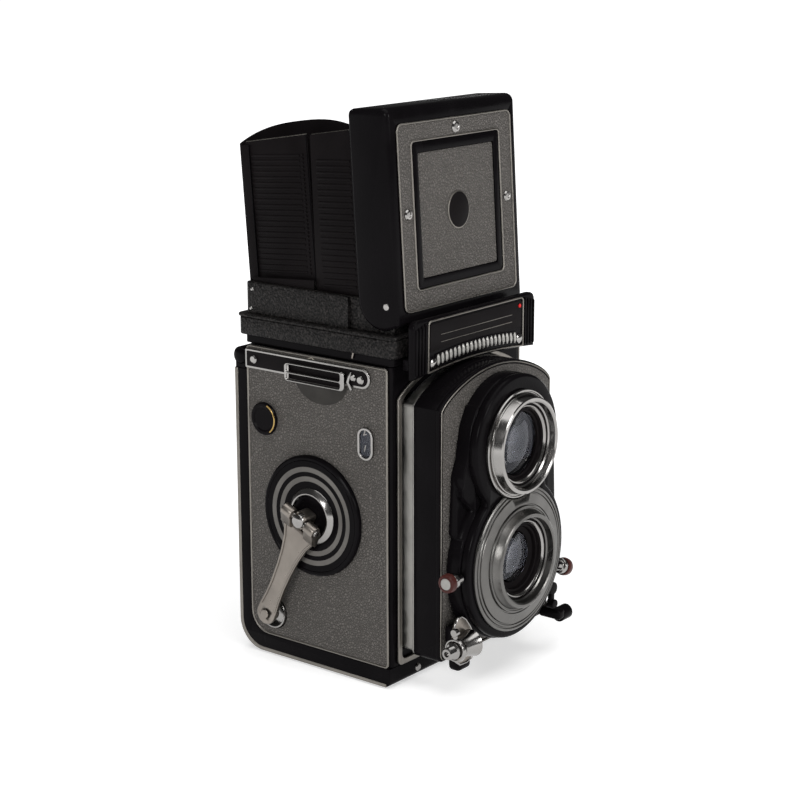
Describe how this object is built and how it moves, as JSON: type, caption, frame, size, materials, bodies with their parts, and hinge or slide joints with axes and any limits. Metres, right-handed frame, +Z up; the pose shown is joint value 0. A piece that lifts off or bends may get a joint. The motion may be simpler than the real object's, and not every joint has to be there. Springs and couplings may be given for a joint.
{
  "type": "twin lens reflex camera",
  "caption": "Medium format twin lens reflex camera with open waist-level hood, side winding crank, focusing knob and hinged back.",
  "frame": {"origin": "centre of the bounding box in plan, at the underside of the feet", "axes": "+Z up, the lenses look along -Y, the winding crank is on the -X side and the focusing knob on the +X side"},
  "size_m": [0.104, 0.1054, 0.2038],
  "materials": {
    "black_lacquer": "gloss black enamel on light alloy",
    "black_crinkle": "black crinkle enamel on light alloy",
    "grey_leather": "fine grain grey leatherette",
    "chrome": "bright plated",
    "satin_nickel": "satin plated",
    "satin_alloy": "satin turned alloy",
    "coated_glass": "coated",
    "ground_glass": "ground",
    "front_mirror": "silvered",
    "black_plastic": "matt black moulding",
    "brown_plastic": "dark red brown moulding",
    "brass": "turned brass"
  },
  "bodies": {
    "body": {"body_casting": "black_lacquer", "side_plate_left": "grey_leather", "side_plate_right": "grey_leather", "front_bezel": "satin_nickel", "mirror": "front_mirror", "focusing_screen": "ground_glass", "hood_base": "black_crinkle", "nameplate": "black_lacquer", "meter_window": "coated_glass", "strap_plate_left": "chrome", "strap_plate_right": "chrome", "crank_disc": "black_lacquer", "counter_window": "coated_glass", "spool_axle_cap": "black_lacquer", "back_hinge_pin": "satin_nickel", "crank_well": "chrome"},
    "front_standard": {"lens_board": "black_lacquer", "lens_housing": "black_lacquer", "viewing_mount": "chrome", "viewing_lens": "coated_glass", "taking_mount": "satin_alloy", "taking_lens": "coated_glass", "shutter_body": "satin_alloy", "release_plate": "chrome", "flash_socket": "satin_nickel"},
    "focus_knob": {"focus_knob": "satin_alloy"},
    "counter_dial": {"counter_dial": "black_plastic"},
    "release_button": {"release_button": "chrome"},
    "release_lock_lever": {"release_lock_lever": "chrome"},
    "speed_lever": {"speed_lever": "brown_plastic"},
    "aperture_lever": {"aperture_lever": "brown_plastic"},
    "self_timer_lever": {"self_timer_lever": "black_plastic"},
    "crank_hub": {"crank_hub": "chrome", "crank_pin": "satin_nickel"},
    "crank_arm": {"crank_arm": "satin_nickel"},
    "crank_knob": {"crank_knob": "satin_nickel"},
    "takeup_spool": {"takeup_spool": "black_plastic"},
    "supply_spool": {"supply_spool": "black_plastic"},
    "takeup_spool_knob": {"takeup_spool_knob": "satin_alloy"},
    "supply_spool_knob": {"supply_spool_knob": "satin_alloy"},
    "upper_film_roller": {"upper_film_roller": "chrome"},
    "lower_film_roller": {"lower_film_roller": "chrome"},
    "back": {"back_door": "black_lacquer", "tripod_socket": "brass"},
    "pressure_plate": {"pressure_plate": "black_plastic"},
    "back_latch": {"back_latch": "satin_nickel"},
    "hood_rear_wall": {"hood_rear_wall": "black_lacquer"},
    "rear_leaf_left": {"rear_leaf_left": "black_lacquer"},
    "rear_leaf_right": {"rear_leaf_right": "black_lacquer"},
    "lid": {"lid": "black_lacquer"},
    "front_leaf_left": {"front_leaf_left": "black_lacquer"},
    "front_leaf_right": {"front_leaf_right": "black_lacquer"},
    "finder_door": {"finder_door": "grey_leather"},
    "magnifier": {"magnifier_frame": "black_plastic", "magnifier_lens": "coated_glass"}
  },
  "joints": [
    {"name": "focus_turn", "type": "hinge", "parent": "body", "child": "focus_knob", "pos_m": [0.0367, 0.00131, 0.0581], "axis": [1, 0, 0], "range_deg": [-230, 75]},
    {"name": "focus_slide", "type": "slide", "parent": "body", "child": "front_standard", "axis": [0, -1, 0], "range_m": [-0.0049, 0.0015]},
    {"name": "release_press", "type": "slide", "parent": "front_standard", "child": "release_button", "axis": [1, 0, 0], "range_m": [0, 0.002], "stiffness_N_per_m": 250},
    {"name": "release_lock_turn", "type": "hinge", "parent": "front_standard", "child": "release_lock_lever", "pos_m": [-0.0379, -0.04609, 0.0199], "axis": [1, 0, 0], "range_deg": [0, 60]},
    {"name": "speed_set", "type": "hinge", "parent": "front_standard", "child": "speed_lever", "pos_m": [-0.0033, -0.04459, 0.0446], "axis": [0, 1, 0], "range_deg": [-18, 24]},
    {"name": "aperture_set", "type": "hinge", "parent": "front_standard", "child": "aperture_lever", "pos_m": [-0.0033, -0.04459, 0.0446], "axis": [0, 1, 0], "range_deg": [-38, 3]},
    {"name": "self_timer_set", "type": "hinge", "parent": "front_standard", "child": "self_timer_lever", "pos_m": [0.0242, -0.04369, 0.0247], "axis": [0, 1, 0], "range_deg": [0, 50]},
    {"name": "crank_turn", "type": "hinge", "parent": "body", "child": "crank_hub", "pos_m": [-0.0433, 0.01371, 0.0581], "axis": [-1, 0, 0], "continuous": true},
    {"name": "crank_fold", "type": "hinge", "parent": "crank_hub", "child": "crank_arm", "pos_m": [-0.0498, 0.01371, 0.0581], "axis": [0, 0.8988, 0.4384], "range_deg": [0, 178]},
    {"name": "crank_knob_spin", "type": "hinge", "parent": "crank_arm", "child": "crank_knob", "pos_m": [-0.0458, 0.03322, 0.0181], "axis": [-1, 0, 0], "continuous": true},
    {"name": "takeup_spin", "type": "hinge", "parent": "body", "child": "takeup_spool", "pos_m": [-0.0033, 0.03631, 0.0902], "axis": [-1, 0, 0], "continuous": true},
    {"name": "counter_turn", "type": "hinge", "parent": "body", "child": "counter_dial", "pos_m": [-0.0403, 0.00181, 0.0887], "axis": [-1, 0, 0], "continuous": true},
    {"name": "supply_spin", "type": "hinge", "parent": "body", "child": "supply_spool", "pos_m": [-0.0033, 0.00331, 0.0192], "axis": [-1, 0, 0], "continuous": true},
    {"name": "upper_roller_spin", "type": "hinge", "parent": "body", "child": "upper_film_roller", "pos_m": [-0.0033, 0.04271, 0.0755], "axis": [-1, 0, 0], "continuous": true},
    {"name": "lower_roller_spin", "type": "hinge", "parent": "body", "child": "lower_film_roller", "pos_m": [-0.0033, 0.04271, 0.0129], "axis": [-1, 0, 0], "continuous": true},
    {"name": "takeup_knob_pull", "type": "slide", "parent": "body", "child": "takeup_spool_knob", "axis": [1, 0, 0], "range_m": [0, 0.006]},
    {"name": "supply_knob_pull", "type": "slide", "parent": "body", "child": "supply_spool_knob", "axis": [1, 0, 0], "range_m": [0, 0.006]},
    {"name": "back_open", "type": "hinge", "parent": "body", "child": "back", "pos_m": [-0.0033, 0.04821, 0.1116], "axis": [1, 0, 0], "range_deg": [0, 100]},
    {"name": "pressure_plate_press", "type": "slide", "parent": "back", "child": "pressure_plate", "axis": [0, 1, 0], "range_m": [0, 0.0008], "stiffness_N_per_m": 400},
    {"name": "back_latch_turn", "type": "hinge", "parent": "back", "child": "back_latch", "pos_m": [-0.0033, 0.01331, 0.0007], "axis": [0, 0, 1], "range_deg": [0, 90]},
    {"name": "lid_fold", "type": "hinge", "parent": "body", "child": "lid", "pos_m": [-0.0033, -0.01769, 0.1372], "axis": [-1, 0, 0], "range_deg": [0, 15]},
    {"name": "finder_door_swing", "type": "hinge", "parent": "lid", "child": "finder_door", "pos_m": [-0.0033, -0.01777, 0.18846], "axis": [1, 0, 0], "range_deg": [0, 55]},
    {"name": "magnifier_swing", "type": "hinge", "parent": "finder_door", "child": "magnifier", "pos_m": [-0.0033, -0.01648, 0.18522], "axis": [-1, 0, 0], "range_deg": [-85, 0]},
    {"name": "front_leaf_left_fold", "type": "hinge", "parent": "lid", "child": "front_leaf_left", "pos_m": [-0.03615, -0.00428, 0.13866], "axis": [0, 0.0628, 0.998], "range_deg": [-90, 0]},
    {"name": "front_leaf_right_fold", "type": "hinge", "parent": "lid", "child": "front_leaf_right", "pos_m": [0.02955, -0.00428, 0.13866], "axis": [0, -0.0628, -0.998], "range_deg": [-90, 0]},
    {"name": "rear_wall_fold", "type": "hinge", "parent": "body", "child": "hood_rear_wall", "pos_m": [-0.0033, 0.04751, 0.1367], "axis": [1, 0, 0], "range_deg": [0, 94]},
    {"name": "rear_leaf_left_fold", "type": "hinge", "parent": "hood_rear_wall", "child": "rear_leaf_left", "pos_m": [-0.0345, 0.04678, 0.13896], "axis": [0, 0.0767, 0.9971], "range_deg": [-1, 91]},
    {"name": "rear_leaf_right_fold", "type": "hinge", "parent": "hood_rear_wall", "child": "rear_leaf_right", "pos_m": [0.0279, 0.04678, 0.13896], "axis": [0, -0.0767, -0.9971], "range_deg": [-1, 91]}
  ],
  "couplings": [
    {"joint": "focus_turn", "follows": "focus_slide", "rad_per_m": 800},
    {"joint": "takeup_spin", "follows": "crank_turn", "ratio": 1},
    {"joint": "counter_turn", "follows": "crank_turn", "ratio": 0.08},
    {"joint": "rear_leaf_left_fold", "follows": "rear_wall_fold", "ratio": 0.9574},
    {"joint": "rear_leaf_right_fold", "follows": "rear_wall_fold", "ratio": 0.9574}
  ]
}
